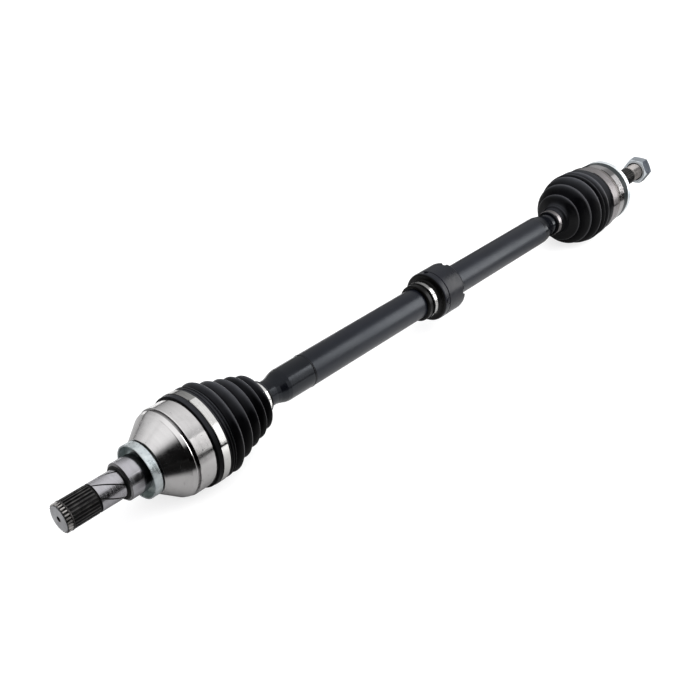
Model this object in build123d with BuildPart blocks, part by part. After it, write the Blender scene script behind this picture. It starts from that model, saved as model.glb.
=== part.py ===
from build123d import *
import math
import os

# Constant-velocity drive axle: plunging tripod joint at the gearbox end,
# tubular bar with a vibration damper, fixed ball joint at the wheel end.
# The axle lies along X. X = 0 is the end face of the gearbox stub,
# +X runs to the wheel, +Z is up. All lengths in millimetres, angles in degrees.
# In part names "inner" is the gearbox end and "outer" the wheel end.
# Every turned outline is a closed list of (x, r) points, r measured from the axle.

os.makedirs("parts", exist_ok=True)

# --------------------------------------------------------- shared dimensions
SPIDER_X = 128.0  # tripod joint centre
BALL_X = 824.0  # ball joint centre

BAR_TEETH = 24
INNER_SPLINE_R = 12.4
INNER_ROOT_R = 11.5
OUTER_SPLINE_R = 12.0
OUTER_ROOT_R = 11.1
FIT = 0.03  # radial growth of a splined bore over its bar

CLIP_GROOVE_W = 1.4  # circlip grooves in the bar
INNER_GROOVE_X = 115.4
INNER_GROOVE_R = 11.3
OUTER_GROOVE_X = 837.0
OUTER_GROOVE_R = 10.9
PLAY = 0.05  # gap round circlips, needle rings and retaining rings

HOUSING_BOOT_R = 41.6  # seat of the inner boot
BELL_BOOT_R = 41.0  # seat of the outer boot

# Tooth flank corners, as fractions of the tooth pitch from the tooth centre
TOOTH_TIP_HALF = 0.17
TOOTH_ROOT_HALF = 0.34


# ------------------------------------------------------------------- helpers
def across(x):
    """Plane square to the axle at station x, local u = +Y, local v = +Z."""
    return Plane(origin=(x, 0, 0), x_dir=(0, 1, 0), z_dir=(1, 0, 0))


def turned(angle):
    """Place turned about the axle by an angle."""
    return Location((0, 0, 0), (angle, 0, 0))


def spin(angles):
    """Places set around the axle at the given angles."""
    return [turned(angle) for angle in angles]


def turn(points, mode=Mode.ADD):
    """Turned body: closed (x, r) outline spun about the axle."""
    with BuildSketch(Plane.XY) as outline:
        with BuildLine():
            Polyline(*points, close=True)
        make_face()
    revolve(outline.sketch, axis=Axis.X, mode=mode)


def ring_outline(x0, x1, r0, r1):
    """Outline of a plain ring from x0 to x1 between radii r0 and r1."""
    return [(x0, r0), (x0, r1), (x1, r1), (x1, r0)]


def tooth_points(r_out, r_root, teeth, grow):
    """Outline of a spline whose teeth have straight, sloping flanks."""
    step = 2 * math.pi / teeth
    corners = (
        (-TOOTH_ROOT_HALF, r_root),
        (-TOOTH_TIP_HALF, r_out),
        (TOOTH_TIP_HALF, r_out),
        (TOOTH_ROOT_HALF, r_root),
    )
    points = []
    for i in range(teeth):
        for fraction, corner_r in corners:
            angle = i * step + fraction * step
            r = corner_r + grow
            points.append((r * math.cos(angle), r * math.sin(angle)))
    return points


def spline_bar(x0, x1, r_out, r_root, teeth, grow=0.0, mode=Mode.ADD):
    """Splined length from x0 to x1."""
    with BuildSketch(across(x0)) as teeth_outline:
        with BuildLine():
            Polyline(*tooth_points(r_out, r_root, teeth, grow), close=True)
        make_face()
    extrude(teeth_outline.sketch, amount=x1 - x0, mode=mode)


def save(builder, name):
    """Label the built part and write its STEP file."""
    part = builder.part
    part.label = name
    export_step(part, f"parts/{name}.step")


def turned_piece(name, outline):
    """Piece made of one turned outline."""
    with BuildPart() as piece:
        turn(outline)
    save(piece, name)


def bar_circlip(name, groove_x, groove_r, outer_r, gap_r, gap_depth):
    """Split ring in a groove of the bar, its gap cut at +Y and centred on gap_r."""
    x0 = groove_x + PLAY
    x1 = groove_x + CLIP_GROOVE_W - PLAY
    gap_size = 3
    with BuildPart() as circlip:
        turn(ring_outline(x0, x1, groove_r + PLAY, outer_r))
        with Locations(((x0 + x1) / 2, gap_r, 0)):
            Box(gap_size, gap_depth, gap_size, mode=Mode.SUBTRACT)
    save(circlip, name)


# ------------------------------------------------- tripod housing with stub
STUB_SPLINE_R = 13.1
STUB_ROOT_R = 11.9
STUB_TEETH = 26
STUB_SPLINE_START = 0.7
STUB_SPLINE_END = 30.4
PILOT_R = 13.1
PILOT_END = 56.0
SEAL_R = 17.5
SEAL_START = 59.0
SEAL_END = 75.0
SHIELD_SEAT_R = 16.9
HOUSING_BACK = 84.6
HOUSING_R = 42.3
HOUSING_MOUTH = 146.5
HOUSING_FLOOR = 92.5
HOUSING_BORE_R = 23.5

PITCH_R = 25.0  # roller centres from the axle
TRACK_R = 17.15
TRACK_DEPTH = 35.6  # flat outer wall from the axle
TRACK_OVERRUN = 1  # cut past the housing mouth
TRACK_END = HOUSING_MOUTH + TRACK_OVERRUN
TRACK_LIMIT_R = 60  # clear of the track section

CLIP_X = 5.5
CLIP_GROOVE_HALF = 0.8
CLIP_RING_R = 12.72  # centreline of the wire
CLIP_WIRE_R = 0.74
CLIP_ARC = 338

OIL_GROOVE_X = 31.5
OIL_GROOVE_LENGTH = 25.0
OIL_GROOVE_PITCH = 139.0
OIL_GROOVE_R = 0.62

TRIPOD_ANGLES = (0, 120, 240)

HOUSING_OUTLINE = [
    (0, 0), (0, 11.2),
    (STUB_SPLINE_START, STUB_ROOT_R), (STUB_SPLINE_END, STUB_ROOT_R), (32.0, STUB_ROOT_R),
    (32.5, PILOT_R), (PILOT_END, PILOT_R), (56.6, 15.1), (58.0, 15.6),
    (SEAL_START, SEAL_R), (SEAL_END, SEAL_R),
    (SEAL_END, SHIELD_SEAT_R), (HOUSING_BACK, SHIELD_SEAT_R),
    (HOUSING_BACK, 25.6), (85.0, 26.0), (102.5, 39.3), (103.1, 39.8),
    (106.6, 41.2), (107.0, 41.1), (107.3, 40.2), (109.2, 40.2), (109.6, 42.0),
    (110.2, HOUSING_R), (126.8, HOUSING_R),
    (127.2, HOUSING_BOOT_R), (143.5, HOUSING_BOOT_R),
    (HOUSING_MOUTH, 39.6), (HOUSING_MOUTH, 29.5),
    (138.0, HOUSING_BORE_R), (HOUSING_FLOOR, HOUSING_BORE_R), (HOUSING_FLOOR, 0),
]

with BuildPart() as roller_track:
    # one roller track: round flanks, flat outer wall
    with BuildSketch(across(HOUSING_FLOOR)):
        with Locations((PITCH_R, 0)):
            Circle(TRACK_R)
        with Locations((TRACK_DEPTH / 2, 0)):
            Rectangle(TRACK_DEPTH, 60, mode=Mode.INTERSECT)
    extrude(amount=HOUSING_MOUTH - HOUSING_FLOOR + TRACK_OVERRUN)
    # closed end of the track follows the cone of the housing
    turn(
        [
            (HOUSING_FLOOR, 0), (HOUSING_FLOOR, 26.9), (108, 38.2),
            (108, TRACK_LIMIT_R), (TRACK_END, TRACK_LIMIT_R), (TRACK_END, 0),
        ],
        mode=Mode.INTERSECT,
    )

with BuildPart() as oil_groove:
    # one steep right-hand oil groove across the pilot journal
    with BuildLine() as groove_path:
        Helix(
            pitch=OIL_GROOVE_PITCH,
            height=OIL_GROOVE_LENGTH,
            radius=PILOT_R,
            center=(OIL_GROOVE_X, 0, 0),
            direction=(1, 0, 0),
        )
    with BuildSketch(Plane(origin=groove_path.line @ 0, z_dir=groove_path.line % 0)):
        Circle(OIL_GROOVE_R)
    sweep(path=groove_path.line, is_frenet=True)

with BuildPart() as tulip_housing:
    turn(HOUSING_OUTLINE)
    # stub spline, interrupted by the circlip groove
    for x0, x1 in (
        (STUB_SPLINE_START, CLIP_X - CLIP_GROOVE_HALF),
        (CLIP_X + CLIP_GROOVE_HALF, STUB_SPLINE_END),
    ):
        spline_bar(x0, x1, STUB_SPLINE_R, STUB_ROOT_R, STUB_TEETH)
    # centre drilling in the stub end
    turn([(0, 0), (0, 2.6), (2.0, 1.3), (6.0, 1.3), (6.8, 0)], mode=Mode.SUBTRACT)
    with Locations(*spin(TRIPOD_ANGLES)):
        add(roller_track.part, mode=Mode.SUBTRACT)
    # six oil grooves around the pilot journal
    with Locations(*spin(range(0, 360, 60))):
        add(oil_groove.part, mode=Mode.SUBTRACT)
save(tulip_housing, "tulip_housing")

# round-wire circlip that holds the stub in the gearbox side gear
with BuildPart() as stub_circlip:
    with BuildSketch(Plane.XY):
        with Locations((CLIP_X, CLIP_RING_R)):
            Circle(CLIP_WIRE_R)
    revolve(axis=Axis.X, revolution_arc=CLIP_ARC)
save(stub_circlip, "stub_circlip")

# pressed sheet dust cup, open towards the gearbox
turned_piece("dust_shield", [
    (79.4, SHIELD_SEAT_R), (79.4, 18.7), (82.2, 18.7), (82.2, 24.2), (SEAL_END, 24.2),
    (SEAL_END, 25.4), (82.7, 25.4), (83.4, 24.7), (83.4, SHIELD_SEAT_R),
])

# ------------------------------------------------------------------- tripod
SPIDER_R = 18.0
SPIDER_HALF_W = 11
SPIDER_CHAMFER = 1.4
SPIDER_BORE_HALF = 12  # bore cutter, longer than the hub

SHOULDER_R = 11.0
SHOULDER_TIP = 19.3
TRUNNION_R = 9.0
TRUNNION_TIP = 33.0
RETAINER_GROOVE_FROM = 30.8  # distance from the axle
RETAINER_GROOVE_W = 1.3
RETAINER_GROOVE_R = 8.3
RETAINER_GROOVE_CUT_R = 9.5
RETAINER_R = 12.8
RETAINER_SIDE_PLAY = 0.1

ROLLER_R = 16.0
ROLLER_W = 11.0
ROLLER_BORE_R = 12.0

FROM_BASE = (Align.CENTER, Align.CENTER, Align.MIN)


def arm_place(angle, radius):
    """Place on a tripod arm, local Z pointing outwards along the arm."""
    return turned(angle) * Location((SPIDER_X, radius, 0), (-90, 0, 0))


with BuildPart() as spider:
    turn([
        (SPIDER_X - SPIDER_HALF_W, 0),
        (SPIDER_X - SPIDER_HALF_W, SPIDER_R - SPIDER_CHAMFER),
        (SPIDER_X - SPIDER_HALF_W + SPIDER_CHAMFER, SPIDER_R),
        (SPIDER_X + SPIDER_HALF_W - SPIDER_CHAMFER, SPIDER_R),
        (SPIDER_X + SPIDER_HALF_W, SPIDER_R - SPIDER_CHAMFER),
        (SPIDER_X + SPIDER_HALF_W, 0),
    ])
    with Locations(*[arm_place(angle, 0) for angle in TRIPOD_ANGLES]):
        Cylinder(SHOULDER_R, SHOULDER_TIP, align=FROM_BASE)
        Cylinder(TRUNNION_R, TRUNNION_TIP, align=FROM_BASE)
    # retaining-ring groove near each trunnion tip: cut through, then refill the core
    for angle in TRIPOD_ANGLES:
        with Locations(arm_place(angle, RETAINER_GROOVE_FROM)):
            Cylinder(
                RETAINER_GROOVE_CUT_R, RETAINER_GROOVE_W, align=FROM_BASE, mode=Mode.SUBTRACT
            )
            Cylinder(RETAINER_GROOVE_R, RETAINER_GROOVE_W, align=FROM_BASE)
    # splined bore for the bar
    spline_bar(
        SPIDER_X - SPIDER_BORE_HALF, SPIDER_X + SPIDER_BORE_HALF,
        INNER_SPLINE_R, INNER_ROOT_R, BAR_TEETH, grow=FIT, mode=Mode.SUBTRACT,
    )
save(spider, "spider")

bar_circlip(
    "spider_circlip", INNER_GROOVE_X, INNER_GROOVE_R, outer_r=14.6, gap_r=13, gap_depth=6
)

# rollers with crowned rims, needle rings and retaining rings, one per trunnion
for number, angle in enumerate(TRIPOD_ANGLES, start=1):
    with BuildPart() as roller:
        with Locations(arm_place(angle, PITCH_R)):
            Sphere(ROLLER_R)
            Cylinder(ROLLER_R + 1, ROLLER_W, mode=Mode.INTERSECT)
            Cylinder(ROLLER_BORE_R, ROLLER_W + 2, mode=Mode.SUBTRACT)
    save(roller, f"roller_{number}")

    with BuildPart() as needle_ring:
        with Locations(arm_place(angle, PITCH_R)):
            Cylinder(ROLLER_BORE_R - PLAY, ROLLER_W - 0.4)
            Cylinder(TRUNNION_R + PLAY, ROLLER_W, mode=Mode.SUBTRACT)
    save(needle_ring, f"needle_ring_{number}")

    with BuildPart() as roller_retainer:
        thickness = RETAINER_GROOVE_W - 2 * RETAINER_SIDE_PLAY
        with Locations(arm_place(angle, RETAINER_GROOVE_FROM + RETAINER_SIDE_PLAY)):
            Cylinder(RETAINER_R, thickness, align=FROM_BASE)
            Cylinder(
                RETAINER_GROOVE_R + PLAY, thickness, align=FROM_BASE, mode=Mode.SUBTRACT
            )
    save(roller_retainer, f"roller_retainer_{number}")

# ---------------------------------------------------------------------- bar
TUBE_R = 17.0
TUBE_WALL = 4.0
TUBE_BORE_R = TUBE_R - TUBE_WALL
TUBE_X0 = 276.4
TUBE_X1 = 690.0
TUBE_END_R = 16.6  # chamfered end at TUBE_X0
INNER_BAR_R = 12.5
OUTER_BAR_R = 12.0
OUTER_BOOT_SEAT_R = 13.2

INNER_SPLINE_START = 114.5
INNER_SPLINE_END = 139.0
INNER_GROOVE_END = INNER_GROOVE_X + CLIP_GROOVE_W
OUTER_GROOVE_END = OUTER_GROOVE_X + CLIP_GROOVE_W
OUTER_SPLINE_END = 839.5

RACE_HALF_W = 12.5
RACE_FACE = BALL_X - RACE_HALF_W  # gearbox-side face, where the outer spline starts

INNER_SHAFT_OUTLINE = [
    (114.0, 0), (114.0, 11.0), (INNER_SPLINE_START, INNER_ROOT_R),
    (INNER_GROOVE_X, INNER_ROOT_R), (INNER_GROOVE_X, INNER_GROOVE_R),
    (INNER_GROOVE_END, INNER_GROOVE_R), (INNER_GROOVE_END, INNER_ROOT_R),
    (INNER_SPLINE_END, INNER_ROOT_R), (INNER_SPLINE_END, 13.4), (141.0, 13.4),
    (142.5, INNER_BAR_R), (208.0, INNER_BAR_R), (210.0, 13.0), (229.0, 13.0),
    (233.0, 13.7), (240.0, 16.0), (244.0, 16.7), (274.6, 16.9), (275.2, 17.3), (275.9, 17.3),
    (TUBE_X0, TUBE_END_R), (TUBE_X0, 0),
]

OUTER_SHAFT_OUTLINE = [
    (TUBE_X1, 0), (TUBE_X1, TUBE_R),
    (696.0, 16.9), (701.0, 16.1), (706.5, 14.8), (711.0, 13.6),
    (714.0, OUTER_BOOT_SEAT_R), (733.0, OUTER_BOOT_SEAT_R),
    (735.0, OUTER_BAR_R), (809.0, OUTER_BAR_R), (810.0, 13.2), (RACE_FACE, 13.2),
    (RACE_FACE, OUTER_ROOT_R), (OUTER_GROOVE_X, OUTER_ROOT_R),
    (OUTER_GROOVE_X, OUTER_GROOVE_R), (OUTER_GROOVE_END, OUTER_GROOVE_R),
    (OUTER_GROOVE_END, OUTER_ROOT_R), (OUTER_SPLINE_END, OUTER_ROOT_R),
    (840.2, 10.5), (840.2, 0),
]

# each shaft end carries a spline interrupted by its circlip groove
with BuildPart() as inner_shaft_end:
    turn(INNER_SHAFT_OUTLINE)
    for x0, x1 in (
        (INNER_SPLINE_START, INNER_GROOVE_X),
        (INNER_GROOVE_END, INNER_SPLINE_END),
    ):
        spline_bar(x0, x1, INNER_SPLINE_R, INNER_ROOT_R, BAR_TEETH)
save(inner_shaft_end, "inner_shaft_end")

turned_piece("shaft_tube", [
    (TUBE_X0, TUBE_BORE_R), (TUBE_X0, TUBE_END_R), (TUBE_X0 + 0.5, TUBE_R),
    (TUBE_X1, TUBE_R), (TUBE_X1, TUBE_BORE_R),
])

with BuildPart() as outer_shaft_end:
    turn(OUTER_SHAFT_OUTLINE)
    for x0, x1 in ((RACE_FACE, OUTER_GROOVE_X), (OUTER_GROOVE_END, OUTER_SPLINE_END)):
        spline_bar(x0, x1, OUTER_SPLINE_R, OUTER_ROOT_R, BAR_TEETH)
save(outer_shaft_end, "outer_shaft_end")

# --------------------------------------------------------------- ball joint
BALL_R = 8.73
BALL_PITCH_R = 28.8
BALL_COUNT = 6
BALL_ANGLES = [360 / BALL_COUNT * k for k in range(BALL_COUNT)]
TRACK_SLOT = 2.4  # extra width of a ball track
TRACK_BALL_R = 8.8

RACE_SPHERE_R = 25.0
RACE_BORE_HALF = 14  # bore cutter, longer than the race
BELL_SPHERE_R = 32.6
CAGE_PLAY = 0.25  # radial gap on both sides of the cage
CAGE_IN_R = RACE_SPHERE_R + CAGE_PLAY
CAGE_OUT_R = BELL_SPHERE_R - CAGE_PLAY
CAGE_HALF_W = 13.0
WINDOW_PLAY = 0.1
WINDOW_DEPTH = 16  # radial
WINDOW_WIDTH = 19.6  # around the axle


def ball_place(angle):
    """Centre of the ball at an angle around the axle."""
    return turned(angle) * Location((BALL_X, BALL_PITCH_R, 0))


def ball_track(start, arc):
    """Part-circular ball groove about the joint centre, wider than the ball.

    Angles run from +Y, positive towards the gearbox (-X).
    """
    c = math.cos(math.radians(start))
    s = math.sin(math.radians(start))
    tilt = Plane(origin=(BALL_X, 0, 0), x_dir=(-s, c, 0), z_dir=(c, s, 0))
    with BuildSketch(tilt) as groove_section:
        with Locations((BALL_PITCH_R, 0)):
            SlotCenterToCenter(TRACK_SLOT, 2 * TRACK_BALL_R, rotation=90)
    joint_axis = Axis((BALL_X, 0, 0), (0, 0, 1))
    revolve(groove_section.sketch, axis=joint_axis, revolution_arc=arc)


with BuildPart() as race_track:
    ball_track(start=-70, arc=140)

with BuildPart() as bell_track:
    ball_track(start=-50, arc=135)

with BuildPart() as inner_race:
    with Locations((BALL_X, 0, 0)):
        Sphere(RACE_SPHERE_R)
        Box(2 * RACE_HALF_W, 60, 60, mode=Mode.INTERSECT)
    with Locations(*spin(BALL_ANGLES)):
        add(race_track.part, mode=Mode.SUBTRACT)
    spline_bar(
        BALL_X - RACE_BORE_HALF, BALL_X + RACE_BORE_HALF,
        OUTER_SPLINE_R, OUTER_ROOT_R, BAR_TEETH, grow=FIT, mode=Mode.SUBTRACT,
    )
save(inner_race, "inner_race")

bar_circlip(
    "race_circlip", OUTER_GROOVE_X, OUTER_GROOVE_R, outer_r=13.4, gap_r=12, gap_depth=5
)

with BuildPart() as ball_cage:
    with Locations((BALL_X, 0, 0)):
        Sphere(CAGE_OUT_R)
        Sphere(CAGE_IN_R, mode=Mode.SUBTRACT)
        Box(2 * CAGE_HALF_W, 80, 80, mode=Mode.INTERSECT)
    # one window per ball
    for angle in BALL_ANGLES:
        with Locations(ball_place(angle)):
            Box(2 * BALL_R + WINDOW_PLAY, WINDOW_DEPTH, WINDOW_WIDTH, mode=Mode.SUBTRACT)
save(ball_cage, "ball_cage")

with BuildPart() as balls:
    for angle in BALL_ANGLES:
        with Locations(ball_place(angle)):
            Sphere(BALL_R)
save(balls, "balls")

# ------------------------------------------------------ bell with wheel stub
BELL_MOUTH = 806.0
BELL_FLOOR = 850.0
BELL_MOUTH_R = 37.2
CONE_END = BALL_X - 10  # where the conical mouth meets the sphere
BELL_R = 42.0
STRAP_SEAT_R = 40.8
RING_SEAT_R = 36.5
BAND_X0 = 845.7
BAND_X1 = 857.6

HUB_FACE = 884.0
HUB_SPLINE_R = 11.7
HUB_ROOT_R = 10.6
HUB_TEETH = 26
HUB_SPLINE_END = 934.5
THREAD_R = 11.0
THREAD_PITCH = 1.5
THREAD_DEPTH = 0.75
THREAD_ROOT_R = THREAD_R - THREAD_DEPTH
UNDERCUT_R = THREAD_R - 0.9
STUB_TIP = 974.5
STUB_CHAMFER = 1.2
THREAD_LIMIT = STUB_TIP - 1.6

# one V-shaped groove per thread pitch
thread_outline = []
x = HUB_SPLINE_END + 3.0
while x + THREAD_PITCH < THREAD_LIMIT:
    thread_outline += [
        (x, THREAD_R),
        (x + 0.60, THREAD_ROOT_R),
        (x + 0.78, THREAD_ROOT_R),
        (x + 1.38, THREAD_R),
    ]
    x += THREAD_PITCH

BELL_OUTLINE = [
    (BELL_MOUTH, 0), (BELL_MOUTH, 40.4),
    (806.6, BELL_BOOT_R), (826.3, BELL_BOOT_R),
    (826.3, BELL_R - 0.5), (826.8, BELL_R), (832.6, BELL_R),
    (833.3, STRAP_SEAT_R), (BAND_X0, STRAP_SEAT_R),
    (BAND_X0, RING_SEAT_R), (864.6, RING_SEAT_R),
    (866.4, 34.6), (868.5, 28.0), (873.0, 23.6),
    (HUB_FACE - 0.6, 22.6), (HUB_FACE, 22.0), (HUB_FACE, 12.8),
    (HUB_FACE + 2.0, HUB_ROOT_R), (HUB_SPLINE_END, HUB_ROOT_R),
    (HUB_SPLINE_END, UNDERCUT_R), (HUB_SPLINE_END + 2.0, UNDERCUT_R),
    *thread_outline,
    (STUB_TIP - STUB_CHAMFER, THREAD_R), (STUB_TIP, THREAD_R - STUB_CHAMFER), (STUB_TIP, 0),
]


def cavity_r(x):
    """Radius of the bell's spherical cavity at station x."""
    return math.sqrt(BELL_SPHERE_R**2 - (x - BALL_X) ** 2)


with BuildPart() as outer_race:
    turn(BELL_OUTLINE)
    spline_bar(HUB_FACE + 1.0, HUB_SPLINE_END, HUB_SPLINE_R, HUB_ROOT_R, HUB_TEETH)
    # spherical cavity with a conical mouth that clears the bar
    with BuildSketch(Plane.XY):
        with BuildLine():
            Polyline(
                (CONE_END, cavity_r(CONE_END)),
                (BELL_MOUTH, BELL_MOUTH_R),
                (BELL_MOUTH, 0),
                (BELL_FLOOR, 0),
                (BELL_FLOOR, cavity_r(BELL_FLOOR)),
            )
            ThreePointArc(
                (BELL_FLOOR, cavity_r(BELL_FLOOR)),
                (BALL_X, BELL_SPHERE_R),
                (CONE_END, cavity_r(CONE_END)),
            )
        make_face()
    revolve(axis=Axis.X, mode=Mode.SUBTRACT)
    with Locations(*spin(BALL_ANGLES)):
        add(bell_track.part, mode=Mode.SUBTRACT)
    # centre drilling in the stub tip
    turn(
        [
            (STUB_TIP, 0), (STUB_TIP, 3.2), (STUB_TIP - 2.6, 1.6),
            (STUB_TIP - 8, 1.6), (STUB_TIP - 9, 0),
        ],
        mode=Mode.SUBTRACT,
    )
save(outer_race, "outer_race")

# band and dust ring pressed side by side on the wheel side of the bell
turned_piece("bell_band", [
    (BAND_X0, RING_SEAT_R), (BAND_X0, 40.2), (846.1, 40.6),
    (857.2, 40.6), (BAND_X1, 40.2), (BAND_X1, RING_SEAT_R),
])
turned_piece("bell_dust_ring", [
    (BAND_X1, RING_SEAT_R), (BAND_X1, 40.5), (858.1, 41.0),
    (863.5, 41.0), (864.3, 40.2), (864.3, RING_SEAT_R),
])

# ----------------------------------------------------------------- axle nut
NUT_ACROSS_FLATS = 32.0
NUT_X0 = 955.0
NUT_X1 = 972.0
NUT_TURNED_R = 18.6  # just outside the hexagon corners
NUT_BORE_R = THREAD_R + 0.02
NUT_TURN_ANGLE = -2

# hexagon nut, chamfered on both faces, countersunk at the thread
with BuildPart() as axle_nut:
    with BuildSketch(across(NUT_X0)):
        RegularPolygon(
            radius=NUT_ACROSS_FLATS / math.sqrt(3), side_count=6, rotation=NUT_TURN_ANGLE
        )
    extrude(amount=NUT_X1 - NUT_X0)
    turn(
        [
            (NUT_X0, 0), (NUT_X0, 15.2), (NUT_X0 + 2.2, NUT_TURNED_R),
            (NUT_X1 - 1.6, NUT_TURNED_R), (NUT_X1, 16.0), (NUT_X1, 0),
        ],
        mode=Mode.INTERSECT,
    )
    turn(
        [
            (NUT_X0 - 1, 0), (NUT_X0 - 1, 12.7), (NUT_X0, 12.7), (NUT_X0 + 1.7, NUT_BORE_R),
            (NUT_X1 - 1.2, NUT_BORE_R), (NUT_X1, 12.2), (NUT_X1 + 1, 12.2), (NUT_X1 + 1, 0),
        ],
        mode=Mode.SUBTRACT,
    )
save(axle_nut, "axle_nut")

# -------------------------------------------------------------------- boots
# Clamp seats on the boots
INNER_LARGE_R = 44.2
INNER_SMALL_R = 15.6
OUTER_SMALL_R = 15.2
OUTER_LARGE_R = 43.0

# Outside skins run towards the wheel, inside skins run back to the gearbox.
INNER_BOOT_OUT = [
    (127.25, 43.9), (128.0, 44.5), (132.4, 44.5), (132.4, INNER_LARGE_R),
    (139.8, INNER_LARGE_R), (139.8, 44.5), (147.0, 44.6), (150.4, 40.6), (155.5, 44.7),
    (163.0, 35.0), (171.0, 39.5), (177.5, 30.4), (184.0, 35.5), (189.5, 27.0),
    (195.0, 33.0), (201.0, 23.6), (207.0, 29.5), (211.2, 16.6), (213.2, INNER_SMALL_R),
    (216.9, INNER_SMALL_R), (217.2, 16.1), (219.2, 16.1), (219.9, 15.2),
]
INNER_BOOT_IN = [
    (219.9, 13.0), (212.0, 13.0), (209.4, 15.4), (206.3, 25.6), (201.0, 20.9),
    (195.0, 30.4), (189.5, 24.6), (184.0, 33.1), (177.5, 28.2), (171.0, 37.2),
    (163.0, 32.8), (155.5, 42.4), (150.4, 38.6), (146.9, 41.9),
    (145.5, HOUSING_BOOT_R), (127.25, HOUSING_BOOT_R),
]
OUTER_BOOT_OUT = [
    (720.8, 14.8), (721.4, 15.5), (722.9, 15.5), (722.9, OUTER_SMALL_R),
    (729.1, OUTER_SMALL_R), (729.1, 15.5), (733.0, 15.6), (736.2, 17.6), (737.7, 18.6),
    (739.4, 18.2), (742.0, 22.0), (747.6, 30.2), (754.2, 26.6), (761.8, 39.5),
    (769.6, 33.4), (778.3, 44.5), (782.0, 41.2), (785.5, 45.9), (790.6, 41.8),
    (796.5, 45.5), (804.0, 45.3), (811.2, 44.2), (811.9, OUTER_LARGE_R),
    (825.3, OUTER_LARGE_R), (825.8, 42.6),
]
OUTER_BOOT_IN = [
    (825.8, BELL_BOOT_R), (805.0, BELL_BOOT_R), (802.6, 43.0), (796.5, 43.1),
    (790.6, 39.4), (785.5, 43.4), (782.0, 38.9), (778.3, 42.0), (769.6, 31.2),
    (761.8, 37.0), (754.2, 24.6), (747.6, 27.6), (743.0, 20.4), (739.6, 16.2),
    (737.0, 15.8), (734.5, OUTER_BOOT_SEAT_R), (720.8, OUTER_BOOT_SEAT_R),
]
turned_piece("inner_boot", INNER_BOOT_OUT + INNER_BOOT_IN)
turned_piece("outer_boot", OUTER_BOOT_OUT + OUTER_BOOT_IN)

# ------------------------------------------------------------------- damper
DAMPER_X0 = 449.5
DAMPER_X1 = 505.0
DAMPER_R = 27.5
DAMPER_BORE_R = 17.6
DAMPER_LINE_R = DAMPER_R - 0.4  # floor of the fine groove around the body
DAMPER_CLAMP_R = 20.4
NOTCH_ANGLES = (84, 174, 264, 354)
MASS_OUTLINE = ring_outline(472.0, 499.0, 20.0, 25.4)

DAMPER_OUTLINE = [
    (DAMPER_X0, TUBE_R), (DAMPER_X0, 19.6), (450.4, 20.6), (455.6, 20.6),
    (456.2, DAMPER_CLAMP_R), (463.7, DAMPER_CLAMP_R), (464.2, 20.6), (466.6, 20.6),
    (467.6, 21.6), (468.2, 26.2), (469.6, DAMPER_R), (476.3, DAMPER_R),
    (476.5, DAMPER_LINE_R), (476.9, DAMPER_LINE_R), (477.1, DAMPER_R), (503.4, DAMPER_R),
    (DAMPER_X1, 26.0), (DAMPER_X1, DAMPER_BORE_R), (470.0, DAMPER_BORE_R), (466.0, TUBE_R),
]

with BuildPart() as damper_rubber:
    turn(DAMPER_OUTLINE)
    # closed pocket for the steel ring
    turn(MASS_OUTLINE, mode=Mode.SUBTRACT)
    # notches around the wheel-end rim
    for angle in NOTCH_ANGLES:
        with Locations(turned(angle) * Location((503.6, 26.5, 0))):
            Box(3.4, 4.4, 5.0, mode=Mode.SUBTRACT)
save(damper_rubber, "damper_rubber")

turned_piece("damper_mass", MASS_OUTLINE)

# ------------------------------------------------------------ lapped clamps
LAP_INSET = 0.3  # lap is narrower than the band by this much on each side

# name, x0, x1, seat radius, thickness, lap start from +Y towards +Z, lap arc
CLAMPS = [
    ("inner_boot_large_clamp", 132.5, 139.7, INNER_LARGE_R, 0.7, 95, 64.5),
    ("inner_boot_small_clamp", 213.3, 216.8, INNER_SMALL_R, 0.6, 120, 90),
    ("outer_boot_small_clamp", 723.0, 729.0, OUTER_SMALL_R, 0.6, 120, 90),
    ("outer_boot_large_clamp", 812.0, 824.5, OUTER_LARGE_R, 0.7, 100, 70),
    ("bell_strap", 834.2, 845.5, STRAP_SEAT_R, 0.55, 100, 61.7),
    ("damper_clamp", 456.3, 463.6, DAMPER_CLAMP_R, 0.7, 120, 80),
]


def clamp_band(x0, x1, seat_r, thick, lap_start, lap_arc):
    """Band with its outer end lapped over the first turn."""
    turn(ring_outline(x0, x1, seat_r, seat_r + thick))
    c = math.cos(math.radians(lap_start))
    s = math.sin(math.radians(lap_start))
    lap_plane = Plane(origin=(0, 0, 0), x_dir=(1, 0, 0), z_dir=(0, -s, c))
    # the lap starts inside the band so the two fuse
    lap_outline = ring_outline(
        x0 + LAP_INSET, x1 - LAP_INSET, seat_r + thick / 2, seat_r + 2 * thick
    )
    with BuildSketch(lap_plane) as lap_section:
        with BuildLine():
            Polyline(*lap_outline, close=True)
        make_face()
    revolve(lap_section.sketch, axis=Axis.X, revolution_arc=lap_arc)


for name, *sizes in CLAMPS:
    with BuildPart() as clamp:
        clamp_band(*sizes)
    save(clamp, name)
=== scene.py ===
"""A car drive axle with a roller joint, a long tube with a damper, and a ball joint.

It lies along X: the roller joint starts at x = 0 and the threaded stub of the ball joint ends
near x = 0.975. Y and Z are across it, Z up. Outlines are in mm, (x along, r from the axis);
angles round the axis run from +Y toward +Z.
"""

import math
from functools import cached_property

import bmesh
import bpy
import numpy as np
from mathutils import Matrix, Vector


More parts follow.
